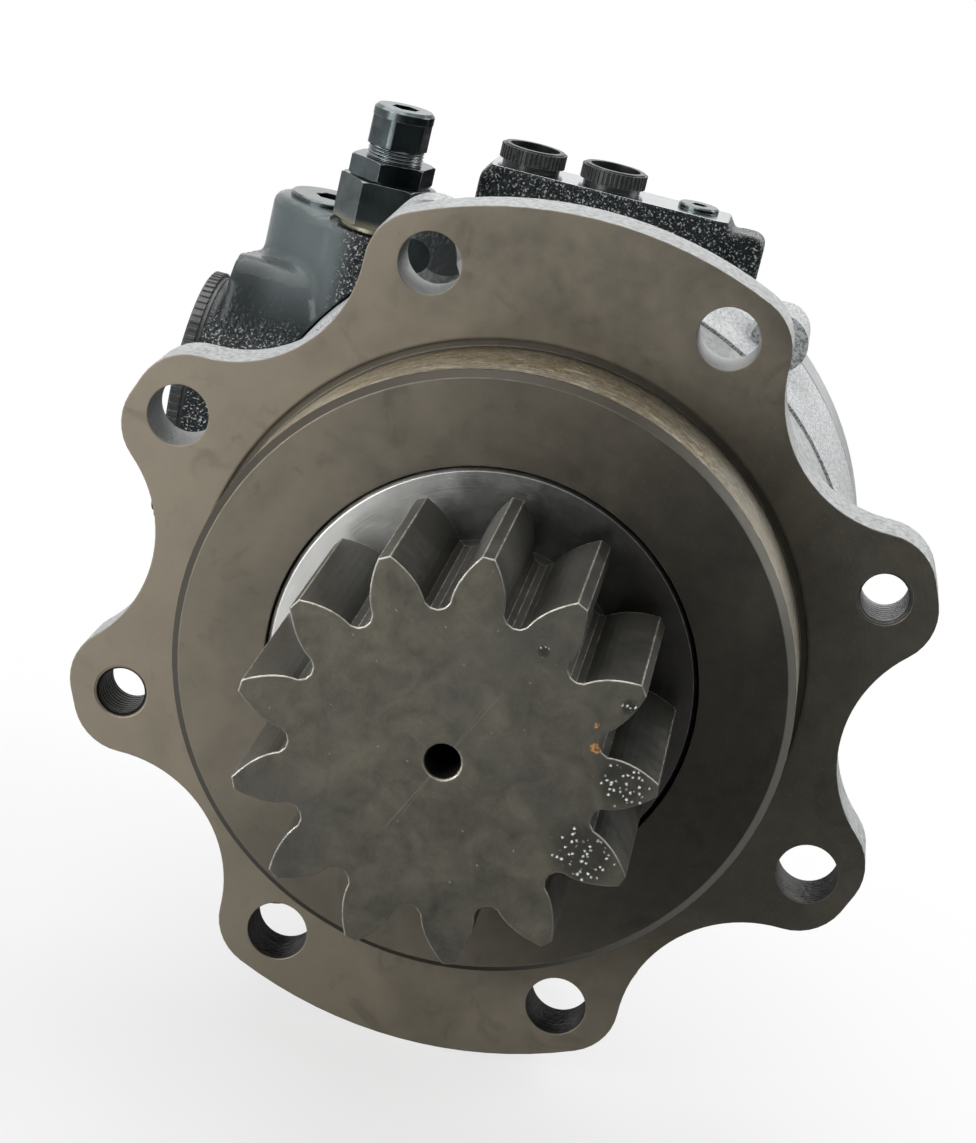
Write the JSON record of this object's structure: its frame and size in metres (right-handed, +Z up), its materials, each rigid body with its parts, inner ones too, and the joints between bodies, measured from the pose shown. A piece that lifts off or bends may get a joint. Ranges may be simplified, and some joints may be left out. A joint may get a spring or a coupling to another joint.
{
  "type": "excavator swing motor",
  "caption": "Hydraulic swing motor with a planetary reduction: overhung pinion, scalloped mounting flange, stepped round casings and a black valve head with a relief valve.",
  "frame": {"origin": "centre of the flange's mounting face, on the drive axis", "axes": "-Y along the drive axis towards the pinion, +Z up through the top port pad, +X to the right seen from the pinion"},
  "size_m": [0.2493, 0.3033, 0.254],
  "materials": {
    "flange_iron": "machined, phosphated and oiled",
    "pinion_steel": "case-hardened gear steel, dull dark grey",
    "silver_paint": "silver-grey paint over rough casting",
    "black_paint": "gloss black-green paint over rough casting",
    "black_oxide": "black oxide on turned and milled steel",
    "black_plastic": "moulded black plastic with knurling",
    "ground_steel": "ground bearing steel",
    "gear_steel": "cut and hardened gear steel",
    "bronze": "bearing bronze",
    "rubber": "nitrile rubber",
    "friction": "sintered friction lining on steel core",
    "gasket_steel": "coated gasket sheet"
  },
  "bodies": {
    "housing": {"flange_housing": "flange_iron", "oil_seal": "rubber", "front_bearing_cup": "ground_steel", "rear_bearing_cup": "ground_steel", "ring_gear": "gear_steel", "ring_gear_dowels": "ground_steel", "motor_casing": "silver_paint", "shaft_seal": "rubber", "brake_housing": "silver_paint", "casing_o_rings": "rubber", "head_gasket": "gasket_steel", "ear_screws": "black_oxide", "shaft_bearing_front": "ground_steel", "shaft_bearing_rear": "ground_steel", "swash_plate": "gear_steel", "valve_plate": "bronze", "brake_plates": "gear_steel", "brake_springs": "black_oxide", "valve_head": "black_paint", "head_screws": "black_oxide", "relief_body": "black_oxide", "check_plugs": "black_oxide", "gauge_plug": "black_oxide"},
    "output_shaft": {"pinion_shaft": "pinion_steel", "seal_collar": "ground_steel", "front_bearing_cone": "ground_steel", "rear_bearing_cone": "ground_steel", "bearing_nut": "black_oxide", "planet_carrier": "gear_steel", "planet_pins": "ground_steel", "planet_washers": "bronze", "planet_pin_rings": "black_oxide"},
    "planet_1": {"planet_gear_1": "gear_steel", "planet_bushes_1": "bronze"},
    "planet_2": {"planet_gear_2": "gear_steel", "planet_bushes_2": "bronze"},
    "planet_3": {"planet_gear_3": "gear_steel", "planet_bushes_3": "bronze"},
    "front_rollers": {"front_bearing_rollers": "ground_steel", "front_bearing_cage": "gear_steel"},
    "rear_rollers": {"rear_bearing_rollers": "ground_steel", "rear_bearing_cage": "gear_steel"},
    "motor_rotor": {"sun_gear": "gear_steel", "motor_shaft": "gear_steel", "shaft_races": "ground_steel", "ball_guide": "gear_steel", "cylinder_block": "gear_steel", "block_spring": "black_oxide", "pistons": "ground_steel", "friction_discs": "friction"},
    "shoe_plate": {"shoes": "bronze", "retainer_plate": "gear_steel"},
    "front_balls": {"shaft_balls_front": "ground_steel"},
    "rear_balls": {"shaft_balls_rear": "ground_steel"},
    "brake_piston": {"brake_piston": "gear_steel"},
    "relief_lock_nut": {"relief_lock_nut": "black_oxide"},
    "relief_adjuster": {"relief_adjuster": "black_oxide"},
    "port_cap_a": {"port_cap_a": "black_plastic"},
    "port_cap_b": {"port_cap_b": "black_plastic"},
    "side_port_cap": {"side_port_cap": "black_plastic"}
  },
  "joints": [
    {"name": "pinion_spin", "type": "hinge", "parent": "housing", "child": "output_shaft", "pos_m": [0, 0, 0], "axis": [0, -1, 0], "continuous": true},
    {"name": "motor_spin", "type": "hinge", "parent": "housing", "child": "motor_rotor", "pos_m": [0, 0, 0], "axis": [0, -1, 0], "continuous": true},
    {"name": "planet_1_spin", "type": "hinge", "parent": "output_shaft", "child": "planet_1", "pos_m": [0, 0.075, 0.04875], "axis": [0, -1, 0], "continuous": true},
    {"name": "planet_2_spin", "type": "hinge", "parent": "output_shaft", "child": "planet_2", "pos_m": [-0.04222, 0.075, -0.02438], "axis": [0, -1, 0], "continuous": true},
    {"name": "planet_3_spin", "type": "hinge", "parent": "output_shaft", "child": "planet_3", "pos_m": [0.04222, 0.075, -0.02438], "axis": [0, -1, 0], "continuous": true},
    {"name": "shoe_plate_spin", "type": "hinge", "parent": "housing", "child": "shoe_plate", "pos_m": [0, 0.12511, 0], "axis": [0, -0.9781, 0.2079], "continuous": true},
    {"name": "front_rollers_spin", "type": "hinge", "parent": "housing", "child": "front_rollers", "pos_m": [0, 0, 0], "axis": [0, -1, 0], "continuous": true},
    {"name": "rear_rollers_spin", "type": "hinge", "parent": "housing", "child": "rear_rollers", "pos_m": [0, 0, 0], "axis": [0, -1, 0], "continuous": true},
    {"name": "front_balls_spin", "type": "hinge", "parent": "housing", "child": "front_balls", "pos_m": [0, 0, 0], "axis": [0, -1, 0], "continuous": true},
    {"name": "rear_balls_spin", "type": "hinge", "parent": "housing", "child": "rear_balls", "pos_m": [0, 0, 0], "axis": [0, -1, 0], "continuous": true},
    {"name": "brake_release", "type": "slide", "parent": "housing", "child": "brake_piston", "axis": [0, 1, 0], "range_m": [0, 0.0015], "deforming": ["brake_springs"]},
    {"name": "relief_lock_nut_turn", "type": "hinge", "parent": "housing", "child": "relief_lock_nut", "pos_m": [-0.0745, 0.121, 0.106], "axis": [0, 0, 1], "range_deg": [-180, 180]},
    {"name": "relief_adjuster_turn", "type": "hinge", "parent": "housing", "child": "relief_adjuster", "pos_m": [-0.0745, 0.121, 0.115], "axis": [0, 0, 1], "range_deg": [-180, 180]},
    {"name": "port_cap_a_pull", "type": "slide", "parent": "housing", "child": "port_cap_a", "axis": [0, 0, 1], "range_m": [0, 0.012]},
    {"name": "port_cap_b_pull", "type": "slide", "parent": "housing", "child": "port_cap_b", "axis": [0, 0, 1], "range_m": [0, 0.012]},
    {"name": "side_port_cap_pull", "type": "slide", "parent": "housing", "child": "side_port_cap", "axis": [-1, 0, 0], "range_m": [0, 0.012]}
  ],
  "couplings": [
    {"joint": "motor_spin", "follows": "pinion_spin", "ratio": 4.3333},
    {"joint": "planet_1_spin", "follows": "pinion_spin", "ratio": -2.8571},
    {"joint": "planet_2_spin", "follows": "pinion_spin", "ratio": -2.8571},
    {"joint": "planet_3_spin", "follows": "pinion_spin", "ratio": -2.8571},
    {"joint": "shoe_plate_spin", "follows": "pinion_spin", "ratio": 4.3333},
    {"joint": "front_rollers_spin", "follows": "pinion_spin", "ratio": 0.45302},
    {"joint": "rear_rollers_spin", "follows": "pinion_spin", "ratio": 0.44613},
    {"joint": "front_balls_spin", "follows": "pinion_spin", "ratio": 1.7108},
    {"joint": "rear_balls_spin", "follows": "pinion_spin", "ratio": 1.674}
  ]
}
